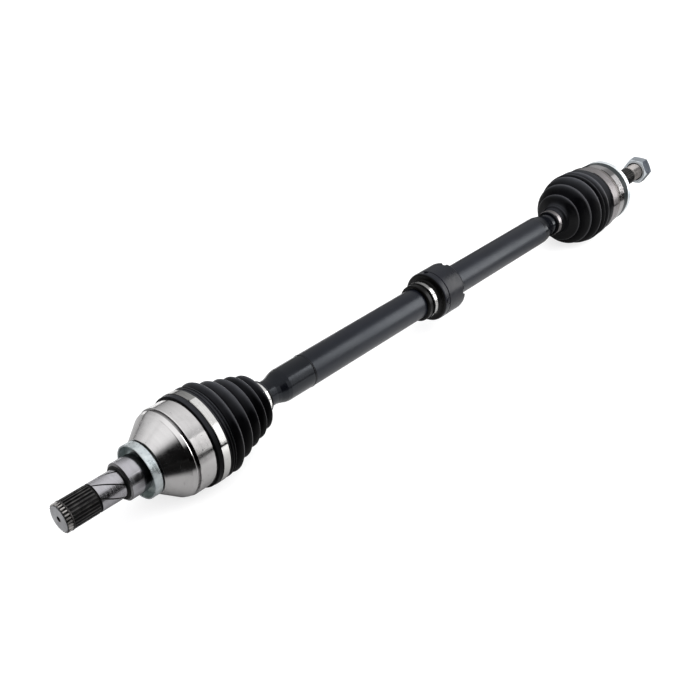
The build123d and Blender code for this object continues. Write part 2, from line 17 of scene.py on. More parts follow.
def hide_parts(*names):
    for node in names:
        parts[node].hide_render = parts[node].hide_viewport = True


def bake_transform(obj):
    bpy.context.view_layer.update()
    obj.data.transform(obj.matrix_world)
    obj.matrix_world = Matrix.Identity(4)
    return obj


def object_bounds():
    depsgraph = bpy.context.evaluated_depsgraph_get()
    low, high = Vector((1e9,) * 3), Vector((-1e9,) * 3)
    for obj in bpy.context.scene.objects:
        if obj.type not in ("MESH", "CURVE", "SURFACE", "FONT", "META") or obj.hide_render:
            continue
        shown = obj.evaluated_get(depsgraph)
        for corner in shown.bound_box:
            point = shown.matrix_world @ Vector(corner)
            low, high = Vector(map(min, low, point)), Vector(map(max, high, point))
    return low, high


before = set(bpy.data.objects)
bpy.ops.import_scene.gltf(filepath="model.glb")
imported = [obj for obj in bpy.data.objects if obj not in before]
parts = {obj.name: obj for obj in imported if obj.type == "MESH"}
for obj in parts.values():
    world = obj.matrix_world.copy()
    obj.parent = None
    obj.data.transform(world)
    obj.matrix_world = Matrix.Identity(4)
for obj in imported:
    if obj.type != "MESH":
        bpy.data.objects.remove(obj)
cad_lo, cad_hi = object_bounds()

MM = 0.001
SEGMENTS = 240
TURN_START = 44.0           # tables of values round the axis run from -44 to 316 degrees
TOWARD_CAMERA = (-0.749, -0.663)    # level direction (x, y) from the axle to the camera


# ------------------------------------------------------------ shader nodes
def scaled(colour, factor):
    return tuple(c * factor for c in colour)


def place_points(mapping, points):
    """Moves a curve's two first points to the first two given, and adds the others."""
    curve = mapping.curves[0]
    for i in (0, 1):
        curve.points[i].location = points[i]
    for point in points[2:]:
        curve.points.new(*point)


class Graph:
    """Short calls that add shader nodes; an input takes a socket or a plain value."""

    def __init__(self, tree):
        self.tree = tree

    def node(self, kind, **settings):
        node = self.tree.nodes.new(kind)
        for key, value in settings.items():
            setattr(node, key, value)
        return node

    def feed(self, socket, value):
        if hasattr(value, "is_output"):
            self.tree.links.new(value, socket)
        else:
            socket.default_value = value

    def math(self, operation, *values):
        node = self.node("ShaderNodeMath", operation=operation)
        for socket, value in zip(node.inputs, values):
            self.feed(socket, value)
        return node.outputs[0]

    def times(self, a, b):
        return self.math("MULTIPLY", a, b)

    def plus(self, a, b):
        return self.math("ADD", a, b)

    def split(self, vector):
        node = self.node("ShaderNodeSeparateXYZ")
        self.feed(node.inputs[0], vector)
        return node.outputs

    def span(self, value, over, to=(0.0, 1.0), interpolation="LINEAR"):
        """Maps the range `over` onto the range `to`, held at both ends."""
        node = self.node("ShaderNodeMapRange", interpolation_type=interpolation)
        for socket, number in zip(node.inputs, (value, *over, *to)):
            self.feed(socket, number)
        return node.outputs[0]

    def mix(self, amount, a, b):
        node = self.node("ShaderNodeMix", data_type="RGBA")
        self.feed(node.inputs[0], amount)
        for index, colour in ((6, a), (7, b)):
            self.feed(node.inputs[index], (*colour, 1) if isinstance(colour, tuple) else colour)
        return node.outputs[2]


SHADER_INPUTS = {
    "color": "Base Color", "rough": "Roughness", "metal": "Metallic", "normal": "Normal",
    "aniso": "Anisotropic", "tangent": "Tangent", "spec": "Specular IOR Level",
    "tint": "Specular Tint",
}


class Mat(Graph):
    """A procedural material in the axle's own coordinates: x along it, radius and angle round it."""

    def __init__(self, name):
        self.material = bpy.data.materials.new(name)
        self.material.use_nodes = True
        super().__init__(self.material.node_tree)
        self.tree.nodes.clear()
        output = self.node("ShaderNodeOutputMaterial")
        self.bsdf = self.node("ShaderNodeBsdfPrincipled")
        self.feed(output.inputs[0], self.bsdf.outputs[0])
        self.position = self.node("ShaderNodeTexCoord").outputs["Object"]

    # coordinates get their nodes only when a material asks for them
    @cached_property
    def axes(self):
        return self.split(self.position)

    @property
    def x(self):
        return self.axes[0]

    @cached_property
    def radius(self):
        _, y, z = self.axes
        return self.math("SQRT", self.plus(self.times(y, y), self.times(z, z)))

    @cached_property
    def angle(self):
        _, y, z = self.axes
        return self.math("ARCTAN2", z, y)

    def turn(self):
        """Degrees round the axis, 0 to 360, counted from -TURN_START."""
        degrees = self.times(self.angle, 180 / math.pi)
        return self.math("MODULO", self.plus(degrees, TURN_START + 360.0), 360.0)

    def combine(self, *values):
        node = self.node("ShaderNodeCombineXYZ")
        for socket, value in zip(node.inputs, values):
            self.feed(socket, value)
        return node.outputs[0]

    def stretch(self, **factors):
        """A vector of the named coordinates, in the order given, each times its factor."""
        return self.combine(*(self.times(getattr(self, k), f) for k, f in factors.items()))

    def noise(self, vector, scale, detail, rough):
        node = self.node("ShaderNodeTexNoise")
        self.feed(node.inputs["Vector"], vector)
        node.inputs["Scale"].default_value = scale
        node.inputs["Detail"].default_value = detail
        node.inputs["Roughness"].default_value = rough
        return node.outputs["Fac"]

    def cells(self, scale):
        node = self.node("ShaderNodeTexVoronoi")
        self.feed(node.inputs["Vector"], self.position)
        node.inputs["Scale"].default_value = scale
        return node.outputs["Distance"]

    def ramp(self, value, stops):
        """Grey ramp; stops are (position, level)."""
        node = self.node("ShaderNodeValToRGB")
        self.feed(node.inputs[0], value)
        elements = node.color_ramp.elements
        while len(elements) < len(stops):
            elements.new(0.5)
        for element, (position, level) in zip(elements, stops):
            element.position = position
            element.color = (level, level, level, 1)
        return node.outputs[0]

    def bump(self, height, strength, distance, normal=None):
        node = self.node("ShaderNodeBump")
        node.inputs["Strength"].default_value = strength
        node.inputs["Distance"].default_value = distance
        self.feed(node.inputs["Height"], height)
        if normal is not None:
            self.feed(node.inputs["Normal"], normal)
        return node.outputs[0]

    def around(self, stops):
        """Multiplier that varies smoothly round the axis; stops are (degrees, value)."""
        node = self.node("ShaderNodeFloatCurve")
        self.feed(node.inputs["Value"], self.math("DIVIDE", self.turn(), 360.0))
        points = [((degrees + TURN_START) / 360.0, value) for degrees, value in stops]
        place_points(node.mapping, [points[0], points[-1], *points[1:-1]])
        node.mapping.use_clip = False
        node.mapping.update()
        return node.outputs[0]

    def shaded(self, colour, shade):
        """Colour darkened round the axis by the shade table, if there is one: painted shade and
        painted reflection bands.
        """
        if shade is None:
            return colour
        return self.mix(self.around(shade), (0.0, 0.0, 0.0), colour)

    def radial_tangent(self):
        return self.node("ShaderNodeTangent", direction_type="RADIAL", axis="X").outputs[0]

    def finish(self, **inputs):
        for key, value in inputs.items():
            self.feed(self.bsdf.inputs[SHADER_INPUTS[key]], value)
        return self.material


# ---------------------------------------------------------- material kinds
def turned_steel(name, light, dark, rough, marks, aniso, specks=0.5, spacing=2600, shade=None):
    """Turned or ground bar steel: fine rings round the axis, faint stains, small specks."""
    m = Mat(name)
    ring_space = m.stretch(x=spacing, radius=spacing, angle=0.6)
    rings = m.noise(ring_space, scale=1.0, detail=4.0, rough=0.6)
    broad_space = m.stretch(x=260, radius=260, angle=1.1)
    broad = m.noise(broad_space, scale=1.0, detail=3.0, rough=0.5)
    stain = m.noise(m.position, scale=55.0, detail=5.0, rough=0.62)
    fine = m.noise(m.position, scale=900.0, detail=2.0, rough=0.5)
    spots = m.noise(m.position, scale=330.0, detail=2.0, rough=0.4)
    speck = m.times(m.ramp(spots, stops=[(0.0, 0.0), (0.70, 0.0), (0.755, 1.0)]), specks)
    tone = m.plus(m.times(rings, 0.45), m.times(broad, 0.55))
    colour = m.mix(m.span(tone, over=(0.32, 0.68)), dark, light)
    colour = m.mix(m.span(stain, over=(0.52, 0.78), to=(0, 0.38)), colour, scaled(dark, 0.62))
    colour = m.mix(speck, colour, scaled(dark, 0.30))
    # painted shade and painted reflection bands round the axis, from the shade table
    colour = m.shaded(colour, shade)
    roughness = m.plus(m.span(rings, over=(0.3, 0.7), to=(rough - 0.07, rough + 0.09)),
                       m.span(stain, over=(0.4, 0.8), to=(0, 0.16)))
    normal = m.bump(rings, strength=marks, distance=0.00006)
    normal = m.bump(fine, strength=0.10, distance=0.00003, normal=normal)
    return m.finish(color=colour, metal=1.0, rough=roughness, normal=normal, aniso=aniso,
                    tangent=m.radial_tangent())


def dark_phosphate(name, base, glint, rough):
    """Dark phosphated or oiled steel with worn edges and faint grain."""
    m = Mat(name)
    grain = m.noise(m.position, scale=1500.0, detail=3.0, rough=0.6)
    cloud = m.noise(m.position, scale=140.0, detail=4.0, rough=0.6)
    drawn_space = m.stretch(x=120, angle=60, radius=900)
    drawn = m.noise(drawn_space, scale=1.0, detail=3.0, rough=0.6)
    colour = m.mix(m.span(cloud, over=(0.40, 0.75), to=(0, 0.45)), base, glint)
    colour = m.mix(m.span(drawn, over=(0.60, 0.75), to=(0, 0.55)), colour, glint)
    roughness = m.span(cloud, over=(0.3, 0.7), to=(rough - 0.1, rough + 0.14))
    normal = m.bump(grain, strength=0.28, distance=0.00008)
    return m.finish(color=colour, metal=0.85, rough=roughness, normal=normal)


def zinc(name, light, dark, rough, shade=None, bloom=0.22):
    """Clear-passivated zinc plate: cool grey, mottled, softly blotched."""
    m = Mat(name)
    cloud = m.noise(m.position, scale=120.0, detail=5.0, rough=0.65)
    crystal = m.cells(scale=420.0)
    fine = m.noise(m.position, scale=1700.0, detail=2.0, rough=0.6)
    blue = m.noise(m.position, scale=38.0, detail=3.0, rough=0.5)
    blue_dark = (dark[0] * 0.72, dark[1] * 0.86, dark[2] * 0.98)
    colour = m.mix(m.span(cloud, over=(0.32, 0.7)), dark, light)
    colour = m.mix(m.span(crystal, over=(0.1, 0.8), to=(0, bloom)), colour, (0.86, 0.89, 0.9))
    colour = m.mix(m.span(blue, over=(0.5, 0.75), to=(0, 0.35)), colour, blue_dark)
    # painted shade and painted reflection bands round the axis, from the shade table
    colour = m.shaded(colour, shade)
    roughness = m.plus(m.span(cloud, over=(0.3, 0.7), to=(rough - 0.08, rough + 0.13)),
                       m.span(crystal, over=(0.0, 0.8), to=(0, 0.07)))
    normal = m.bump(crystal, strength=0.10, distance=0.00006)
    normal = m.bump(fine, strength=0.14, distance=0.00004, normal=normal)
    return m.finish(color=colour, metal=0.92, rough=roughness, normal=normal)


def lap_shade(m, lap, shade):
    """Painted shade round a band: its turn before the lap's start and after its end is dimmed to the
    before and after levels, with a painted shadow line at the lap's free end.
    """
    turn = m.turn()
    start, end = lap["start"] + TURN_START, lap["end"] + TURN_START
    before, after = lap["before"], lap["after"]
    level = m.times(m.span(turn, over=(start - 1.5, start), to=(before, 1.0)),
                    m.span(turn, over=(end, end + 1), to=(1.0, after)))
    level = m.times(level, m.span(turn, over=(270, 350), to=(1.0, before / after)))
    if shade is not None:
        level = m.times(level, m.around(shade))
    gap = m.math("ABSOLUTE", m.math("SUBTRACT", turn, end + 0.9))
    return m.times(level, m.span(gap, over=(0.8, 1.7), to=(0.06, 1.0)))


def stainless(name, rough, light, dark, line_bump, edge=None, lap=None, shade=None):
    """Rolled stainless strip: long fine lines round the band, light handling marks."""
    m = Mat(name)
    line_space = m.stretch(x=5200, angle=2.2, radius=60)
    lines = m.noise(line_space, scale=1.0, detail=3.0, rough=0.65)
    mark_space = m.combine(m.times(m.x, 210), m.times(m.angle, 6), m.axes[2])
    marks = m.noise(mark_space, scale=1.0, detail=4.0, rough=0.6)
    colour = m.mix(m.span(lines, over=(0.3, 0.7)), dark, light)
    colour = m.mix(m.span(marks, over=(0.55, 0.8), to=(0, 0.5)), colour, scaled(dark, 0.55))
    roughness = m.plus(m.span(lines, over=(0.3, 0.7), to=(rough - 0.05, rough + 0.08)),
                       m.span(marks, over=(0.5, 0.8), to=(0, 0.15)))
    if edge is not None:
        # painted shadow along both edges of the strip, where its rolled edges lie in shade
        away = m.math("ABSOLUTE", m.math("SUBTRACT", m.x, edge["middle"]))
        ragged = m.plus(away, m.times(marks, 0.0006))
        painted_edge_shadow = m.span(ragged, over=(edge["reach"], edge["reach"] + 0.0004))
        colour = m.mix(painted_edge_shadow, colour, (0.012, 0.012, 0.013))
    if lap is not None:
        # painted shade round the band from its lap, with a painted shadow line at the lap's end
        colour = m.mix(lap_shade(m, lap, shade), (0.0, 0.0, 0.0), colour)
    normal = m.bump(lines, strength=line_bump, distance=0.00004)
    return m.finish(color=colour, metal=1.0, rough=roughness, normal=normal, aniso=0.15,
                    tangent=m.radial_tangent())


def rubber(name, base, rough, spec, dust=0.10, grain_bump=0.35, top=0.0, crest=None):
    """Moulded black rubber: fine grain, bloom in patches, painted sheen on upward faces.

    A crest level is for folded pieces: fold bottoms kept dark as painted shade (less specular there)
    and painted highlight lines of that grey along the crests.
    """
    m = Mat(name)
    grain = m.noise(m.position, scale=2100.0, detail=3.0, rough=0.65)
    pore = m.cells(scale=1300.0)
    bloom = m.noise(m.position, scale=42.0, detail=5.0, rough=0.65)
    flow_space = m.stretch(x=420, angle=3.0, radius=300)
    flow = m.noise(flow_space, scale=1.0, detail=3.0, rough=0.55)
    grey = tuple(min(1.0, c * 3.0 + 0.004) for c in base)
    colour = m.mix(m.span(bloom, over=(0.45, 0.8), to=(0, dust * 2.2)), base, grey)
    colour = m.mix(m.span(flow, over=(0.55, 0.8), to=(0, dust)), colour, grey)
    roughness = m.plus(m.span(bloom, over=(0.3, 0.75), to=(rough - 0.06, rough + 0.1)),
                       m.span(flow, over=(0.4, 0.75), to=(-0.03, 0.07)))
    facing = m.split(m.node("ShaderNodeNewGeometry").outputs["Normal"])
    upward = m.span(facing[2], over=(0.40, 0.92))
    shine = spec
    if crest is not None:
        depth = m.node("ShaderNodeAttribute", attribute_name="fold").outputs["Fac"]
        # painted shade: less specular toward the fold bottoms
        shine = m.times(m.span(m.times(depth, depth), over=(0, 1), to=(0.12, 1.0)), spec)
        upward = m.times(upward, m.span(depth, over=(0.1, 0.9), to=(0.05, 1.0)))
        # painted highlight lines along the fold crests
        crest_highlight = m.times(m.span(depth, over=(0.955, 1.0)),
                         m.span(grain, over=(0.25, 0.7), to=(0.55, 1.0)))
        colour = m.mix(crest_highlight, colour, (crest, crest, crest * 1.08))
    # painted sheen on upward faces, in patches, less of it toward the fold bottoms
    painted_top_sheen = m.times(upward, m.span(bloom, over=(0.3, 0.7), to=(top * 0.6, top)))
    colour = m.mix(painted_top_sheen, colour, (0.050, 0.052, 0.060))
    normal = m.bump(grain, strength=grain_bump, distance=0.00005)
    normal = m.bump(pore, strength=0.12, distance=0.00004, normal=normal)
    normal = m.bump(flow, strength=0.15, distance=0.00010, normal=normal)
    return m.finish(color=colour, metal=0.0, rough=roughness, normal=normal, spec=shine)


def paint(name, base, spec, rough=0.34):
    """Satin dip paint on tube: slight orange peel, scuffs and dust nibs."""
    m = Mat(name)
    peel = m.noise(m.position, scale=380.0, detail=2.0, rough=0.5)
    cloud = m.noise(m.position, scale=24.0, detail=5.0, rough=0.6)
    nib = m.ramp(m.cells(scale=210.0), stops=[(0.0, 1.0), (0.07, 0.0), (1.0, 0.0)])
    scuff_space = m.stretch(x=60, angle=14, radius=100)
    scuff = m.noise(scuff_space, scale=1.0, detail=6.0, rough=0.72)
    colour = m.mix(m.span(cloud, over=(0.35, 0.7)), base, scaled(base, 1.5))
    colour = m.mix(m.span(scuff, over=(0.66, 0.80), to=(0, 0.35)), colour, (0.085, 0.088, 0.10))
    roughness = m.plus(m.span(cloud, over=(0.3, 0.7), to=(rough - 0.05, rough + 0.07)),
                       m.span(scuff, over=(0.6, 0.8), to=(0, 0.12)))
    normal = m.bump(peel, strength=0.16, distance=0.00012)
    normal = m.bump(nib, strength=0.25, distance=0.00008, normal=normal)
    return m.finish(color=colour, metal=0.0, rough=roughness, normal=normal, spec=spec,
                    tint=(0.86, 0.92, 1.0, 1.0))


# --------------------------------------------------------------- materials
# shade tables are (degrees round the axis, brightness): painted shade and painted reflection bands
# round the axis
# painted reflection: a dark band near 160 degrees round the barrel and cone
TULIP_STEEL = turned_steel(
    "tulip_steel", light=(0.72, 0.705, 0.70), dark=(0.65, 0.635, 0.63),
    rough=0.10, marks=0.035, specks=0.7, aniso=0.15,
    shade=[(-44, 1.0), (122, 1.0), (135, 0.74), (152, 0.76), (160, 0.38), (168, 0.62),
           (177, 0.95), (316, 1.0)])
GROUND_STEEL = turned_steel(
    "ground_journal", light=(0.56, 0.55, 0.58), dark=(0.47, 0.46, 0.485),
    rough=0.13, marks=0.04, specks=0.3, spacing=5200, aniso=0.15)
SAWN_FACE = turned_steel(
    "sawn_face", light=(0.74, 0.74, 0.76), dark=(0.54, 0.54, 0.56),
    rough=0.36, marks=0.35, aniso=0.3, specks=0.3, spacing=3000)
TOOTH_STEEL = turned_steel(
    "tooth_steel", light=(0.62, 0.60, 0.58), dark=(0.40, 0.38, 0.37),
    rough=0.30, marks=0.25, aniso=0.2)
HUB_CREST = dark_phosphate(
    "hub_spline_crest", base=(0.016, 0.0155, 0.015), glint=(0.10, 0.097, 0.09), rough=0.34)
SPLINE = dark_phosphate(
    "spline_phosphate", base=(0.007, 0.007, 0.0075), glint=(0.06, 0.058, 0.056), rough=0.40)
SPLINE_CREST = dark_phosphate(
    "spline_crest", base=(0.034, 0.033, 0.033), glint=(0.19, 0.185, 0.18), rough=0.32)
# painted shade and painted dark reflection round the groove ring behind the cone
GROOVE_STEEL = turned_steel(
    "groove_steel", light=(0.58, 0.57, 0.57), dark=(0.46, 0.45, 0.45),
    rough=0.2, marks=0.1, aniso=0.1, specks=0.3,
    shade=[(-44, 0.55), (60, 0.6), (95, 0.75), (110, 0.62), (122, 0.28), (130, 0.04),
           (162, 0.03), (172, 0.4), (184, 0.9), (316, 0.55)])
# painted shade and painted dark reflections round the seal journal, beside the dust shield's cup
SEAL_STEEL = turned_steel(
    "seal_journal_steel", light=(0.56, 0.55, 0.58), dark=(0.47, 0.46, 0.485),
    rough=0.12, marks=0.04, specks=0.3, spacing=5200, aniso=0.15,
    shade=[(-44, 0.7), (40, 0.35), (76, 0.35), (92, 0.75), (100, 1.0), (122, 1.0), (150, 0.9),
           (161, 0.25), (167, 0.07), (177, 0.08), (184, 0.5), (192, 0.95), (316, 0.7)])
SHOULDER_STEEL = turned_steel(
    "shoulder_steel", light=(0.36, 0.35, 0.36), dark=(0.26, 0.255, 0.26),
    rough=0.24, marks=0.1, aniso=0.1, specks=0.3)
GROOVE = dark_phosphate(
    "groove_shadow", base=(0.010, 0.010, 0.0105), glint=(0.05, 0.049, 0.048), rough=0.5)
BELL_STEEL = turned_steel(
    "bell_steel", light=(0.31, 0.29, 0.28), dark=(0.20, 0.185, 0.18),
    rough=0.20, marks=0.14, specks=0.3, spacing=1900, aniso=0.2)
# painted highlight along the top of the thread and painted shade on its side toward -Y
THREAD_STEEL = turned_steel(
    "thread_steel", light=(0.66, 0.63, 0.61), dark=(0.42, 0.39, 0.375),
    rough=0.24, marks=0.2, aniso=0.3,
    shade=[(-44, 0.6), (60, 0.75), (88, 1.0), (110, 1.0), (126, 0.5), (150, 0.30),
           (180, 0.40), (316, 0.6)])
HARD_STEEL = turned_steel(
    "hardened_steel", light=(0.55, 0.54, 0.52), dark=(0.42, 0.41, 0.40),
    rough=0.25, marks=0.15, aniso=0.2)
BALL_STEEL = turned_steel(
    "ball_steel", light=(0.78, 0.78, 0.79), dark=(0.68, 0.68, 0.70),
    rough=0.10, marks=0.05, aniso=0.0, specks=0.1)
CLIP_STEEL = dark_phosphate(
    "dark_clip_steel", base=(0.045, 0.043, 0.043), glint=(0.24, 0.23, 0.22), rough=0.38)
ZINC = zinc("zinc_plate", light=(0.76, 0.81, 0.82), dark=(0.36, 0.41, 0.42), rough=0.23)
# painted light and shade inside the dust shield's cup: lighter zinc, darkened from about 76 to 186
# degrees
ZINC_INSIDE = zinc(
    "zinc_inside", light=(0.84, 0.90, 0.89), dark=(0.50, 0.57, 0.56), rough=0.5,
    shade=[(-44, 1.0), (40, 1.0), (76, 0.5), (104, 0.18), (168, 0.14), (186, 0.8), (316, 1.0)])
BRIGHT_ZINC = zinc("bright_zinc", light=(0.90, 0.93, 0.94), dark=(0.74, 0.78, 0.80), rough=0.34)
NUT_ZINC = zinc("zinc_nut", light=(0.78, 0.82, 0.85), dark=(0.60, 0.64, 0.67), rough=0.30)
# painted shade: darker copies of the nut's zinc for its top flat and for the flat at 118 to 178
# degrees
NUT_TOP_SHADED = zinc(
    "zinc_nut_top_shaded", light=(0.36, 0.39, 0.42), dark=(0.28, 0.30, 0.33), rough=0.30, bloom=0.10)
NUT_SHADED_FLAT = zinc(
    "zinc_nut_shaded_flat", light=(0.085, 0.096, 0.118), dark=(0.055, 0.063, 0.078),
    rough=0.30, bloom=0.04)
TUBE_PAINT = paint("satin_black_paint", base=(0.0020, 0.0024, 0.0044), spec=0.26)
END_PAINT = paint("gloss_black_paint", base=(0.0014, 0.0016, 0.0026), rough=0.20, spec=0.25)
BOOT_RUBBER = rubber(
    "boot_rubber", base=(0.0010, 0.0010, 0.0013), rough=0.36, spec=0.20, crest=0.055, top=0.95)
OUTER_BOOT_RUBBER = rubber(
    "boot_rubber_outer", base=(0.0010, 0.0010, 0.0014), rough=0.36, spec=0.14,
    crest=0.034, top=0.85)
DAMPER_RUBBER = rubber(
    "damper_rubber", base=(0.0024, 0.0029, 0.0054), rough=0.33, grain_bump=0.45,
    spec=0.18, top=0.06)
NECK_RUBBER = rubber(
    "damper_neck_rubber", base=(0.0016, 0.0015, 0.0014), rough=0.34, dust=0.05,
    grain_bump=0.3, spec=0.10)
# laps run from start to end, in degrees; before and after are the painted shade brightness beside
# them, and the lap's free end gets a painted shadow line
STAINLESS_BAND = stainless(
    "stainless_band", rough=0.13, light=(0.86, 0.85, 0.83), dark=(0.72, 0.71, 0.69),
    line_bump=0.05)
WIDE_BAND = stainless(
    "wide_band", rough=0.13, light=(0.84, 0.83, 0.81), dark=(0.70, 0.69, 0.67),
    line_bump=0.05, lap=dict(start=98.5, end=159.5, before=0.42, after=0.92))
# painted shade round the strap, from its lap and its shade table
STRAP = stainless(
    "bell_strap_band", rough=0.15, light=(0.82, 0.80, 0.80), dark=(0.68, 0.66, 0.66),
    line_bump=0.02, lap=dict(start=122.0, end=161.7, before=0.62, after=0.50),
    shade=[(-44, 0.9), (50, 0.7), (68, 0.9), (90, 0.9), (104, 0.6), (113, 0.42), (122, 0.62),
           (129, 1.0), (316, 0.9)])
# painted shadow along both edges of the damper band, and painted shade round its lap
DAMPER_BAND = stainless(
    "damper_band", rough=0.24, light=(0.46, 0.455, 0.445), dark=(0.33, 0.325, 0.315),
    line_bump=0.06, edge=dict(middle=0.45995, reach=0.0021),
    lap=dict(start=120.0, end=138.0, before=0.8, after=0.75))
DULL_BAND = stainless(
    "dull_band", rough=0.30, light=(0.34, 0.32, 0.325), dark=(0.22, 0.205, 0.205),
    line_bump=0.10, lap=dict(start=100.0, end=170.0, before=0.95, after=1.0))
BLACK_BAND = rubber(
    "black_band", base=(0.006, 0.009, 0.010), rough=0.34, dust=0.05, grain_bump=0.15, spec=0.25)

PART_MATERIALS = {
    "tulip_housing": TULIP_STEEL, "stub_circlip": CLIP_STEEL, "dust_shield": ZINC,
    "spider": HARD_STEEL, "spider_circlip": CLIP_STEEL, "inner_shaft_end": END_PAINT,
    "shaft_tube": TUBE_PAINT, "outer_shaft_end": END_PAINT, "inner_race": HARD_STEEL,
    "race_circlip": CLIP_STEEL, "ball_cage": CLIP_STEEL, "balls": BALL_STEEL,
    "outer_race": BELL_STEEL, "bell_band": BLACK_BAND, "bell_strap": STRAP,
    "bell_dust_ring": BRIGHT_ZINC, "axle_nut": NUT_ZINC, "inner_boot": BOOT_RUBBER,
    "outer_boot": OUTER_BOOT_RUBBER, "inner_boot_large_clamp": WIDE_BAND,
    "inner_boot_small_clamp": STAINLESS_BAND, "outer_boot_small_clamp": DULL_BAND,
    "outer_boot_large_clamp": DULL_BAND, "damper_rubber": DAMPER_RUBBER,
    "damper_mass": CLIP_STEEL, "damper_clamp": DAMPER_BAND,
}
for number in (1, 2, 3):
    PART_MATERIALS[f"roller_{number}"] = HARD_STEEL
    PART_MATERIALS[f"needle_ring_{number}"] = HARD_STEEL
    PART_MATERIALS[f"roller_retainer_{number}"] = CLIP_STEEL

# (x from, x to, r from, r to, material[, degrees from, degrees to]), mm; the first fit wins
PART_ZONES = {
    "tulip_housing": [
        (0.02, 7.0, 0, 2.7, GROOVE),
        (-0.1, 0.25, 0, 12.2, SAWN_FACE),
        (0.2, 4.75, 10, 12.3, SPLINE),
        (0.2, 4.75, 12.3, 14, TOOTH_STEEL),
        (4.6, 6.4, 0, 13, SPLINE),
        (6.2, 30.35, 12.95, 14, SPLINE_CREST),
        (6.2, 32.45, 0, 14, SPLINE),
        (31.0, 57.0, 0, 12.98, GROOVE),
        (32.4, 55.9, 12.98, 14, GROUND_STEEL),
        (55.9, 58.02, 0, 15.65, GROOVE),
        (57.9, 58.98, 15.5, 17.45, SHOULDER_STEEL),
        (65.5, 84.5, 0, 17.6, SEAL_STEEL),
        (58.95, 65.6, 0, 17.6, GROUND_STEEL),
        (106.9, 109.7, 0, 42.1, GROOVE_STEEL),
    ],
    "outer_race": [
        (805, 852, 0, 38.5, HARD_STEEL),
        (845.8, 884.5, 0, 36.6, BELL_STEEL),
        (885.5, 934.2, 11.55, 12.5, HUB_CREST),
        (884.5, 934.6, 0, 12.5, SPLINE),
        (934.4, 975, 0, 12, THREAD_STEEL),
    ],
    "inner_shaft_end": [(113, 142, 0, 14, HARD_STEEL), (275.3, 276.1, 16, 18, GROOVE)],
    "dust_shield": [(75.3, 82.6, 0, 24.35, ZINC_INSIDE)],
    "outer_shaft_end": [(809, 841, 0, 14, HARD_STEEL)],
    "axle_nut": [
        (954.9, 957.0, 0, 12.8, GROOVE),
        (956, 971, 0, 11.5, THREAD_STEEL),
        # painted shade on two flats of the nut, by angle round the axis
        (957.2, 968.8, 14.5, 20, NUT_SHADED_FLAT, 118, 178),
        (957.2, 968.8, 14.5, 20, NUT_TOP_SHADED, 58, 118),
    ],
}
DAMPER_ZONES = [(440.0, 469.2, 0.0, 30.0, NECK_RUBBER)]


def zone_slot(mesh, face, zones, slots):
    """The material slot of the first zone that holds the face's middle, or 0."""
    points = [mesh.vertices[v].co for v in face.vertices]
    x = sum(p.x for p in points) / len(points) * 1000
    r = sum(math.hypot(p.y, p.z) for p in points) / len(points) * 1000
    degrees = math.degrees(math.atan2(face.center.z, face.center.y)) % 360.0
    for x0, x1, r0, r1, material, *arc in zones:
        if x0 <= x <= x1 and r0 <= r <= r1 and (not arc or arc[0] <= degrees <= arc[1]):
            return slots[material.name]
    return 0


def dress(obj, base, zones=()):
    """Gives a piece its base material, and zones of it their own."""
    mesh = obj.data
    mesh.materials.clear()
    mesh.materials.append(base)
    slots = {}
    for zone in zones:
        if zone[4].name not in slots:
            mesh.materials.append(zone[4])
            slots[zone[4].name] = len(mesh.materials) - 1
    for face in mesh.polygons:
        face.material_index = zone_slot(mesh, face, zones, slots) if zones else 0


def smooth(obj, sharp_angle):
    for face in obj.data.polygons:
        face.use_smooth = True
    obj.data.set_sharp_from_angle(angle=math.radians(sharp_angle))


for part_name, part in parts.items():
    dress(part, PART_MATERIALS[part_name], PART_ZONES.get(part_name, ()))
    smooth(part, 32.0)


# ------------------------------------------------------------ turned skins
def lathe(name, profile, shift, fold=None):
    """Turns a closed (x, r) loop round the axis; shift(x, r, angle) moves each point."""
    bm = bmesh.new()
    rows = []
    for k in range(SEGMENTS):
        a = 2 * math.pi * k / SEGMENTS
        row = []
        for point in profile:
            x, r = shift(*point, a)
            row.append(bm.verts.new((x * MM, r * math.cos(a) * MM, r * math.sin(a) * MM)))
        rows.append(row)
    for k in range(SEGMENTS):
        row, after = rows[k], rows[(k + 1) % SEGMENTS]
        for i in range(len(profile)):
            j = (i + 1) % len(profile)
            bm.faces.new((row[i], row[j], after[j], after[i]))
    bmesh.ops.recalc_face_normals(bm, faces=bm.faces)
    mesh = bpy.data.meshes.new(name)
    bm.to_mesh(mesh)
    bm.free()
    if fold is not None:
        # how far each point stands between fold bottom (0) and crest (1)
        attribute = mesh.attributes.new("fold", "FLOAT", "POINT")
        attribute.data.foreach_set("value", [
            fold(v.co.x * 1000, math.hypot(v.co.y, v.co.z) * 1000) for v in mesh.vertices])
    obj = bpy.data.objects.new(name, mesh)
    bpy.context.scene.collection.objects.link(obj)
    return obj


def dense(points, step=0.35, rounding=0):
    """Even short steps along an open line, corners rounded by repeated averaging."""
    line = []
    for (x0, r0), (x1, r1) in zip(points, points[1:]):
        count = max(1, int(math.hypot(x1 - x0, r1 - r0) / step))
        for i in range(count):
            line.append((x0 + (x1 - x0) * i / count, r0 + (r1 - r0) * i / count))
    line.append(points[-1])
    p = np.array(line)
    for _ in range(rounding):
        p[1:-1] = 0.25 * p[:-2] + 0.5 * p[1:-1] + 0.25 * p[2:]
    return [tuple(q) for q in p]


FOLD_STEP = 0.5
FLATNESS = 0.30         # 0 gives wavy folds, 1 straight sides
VALLEY_MARGIN = 0.2     # the fold bottom is taken this far below the outline's valleys
WALL = 2.0
SEAM_WIDTH, SEAM_HEIGHT = 0.5, 0.18


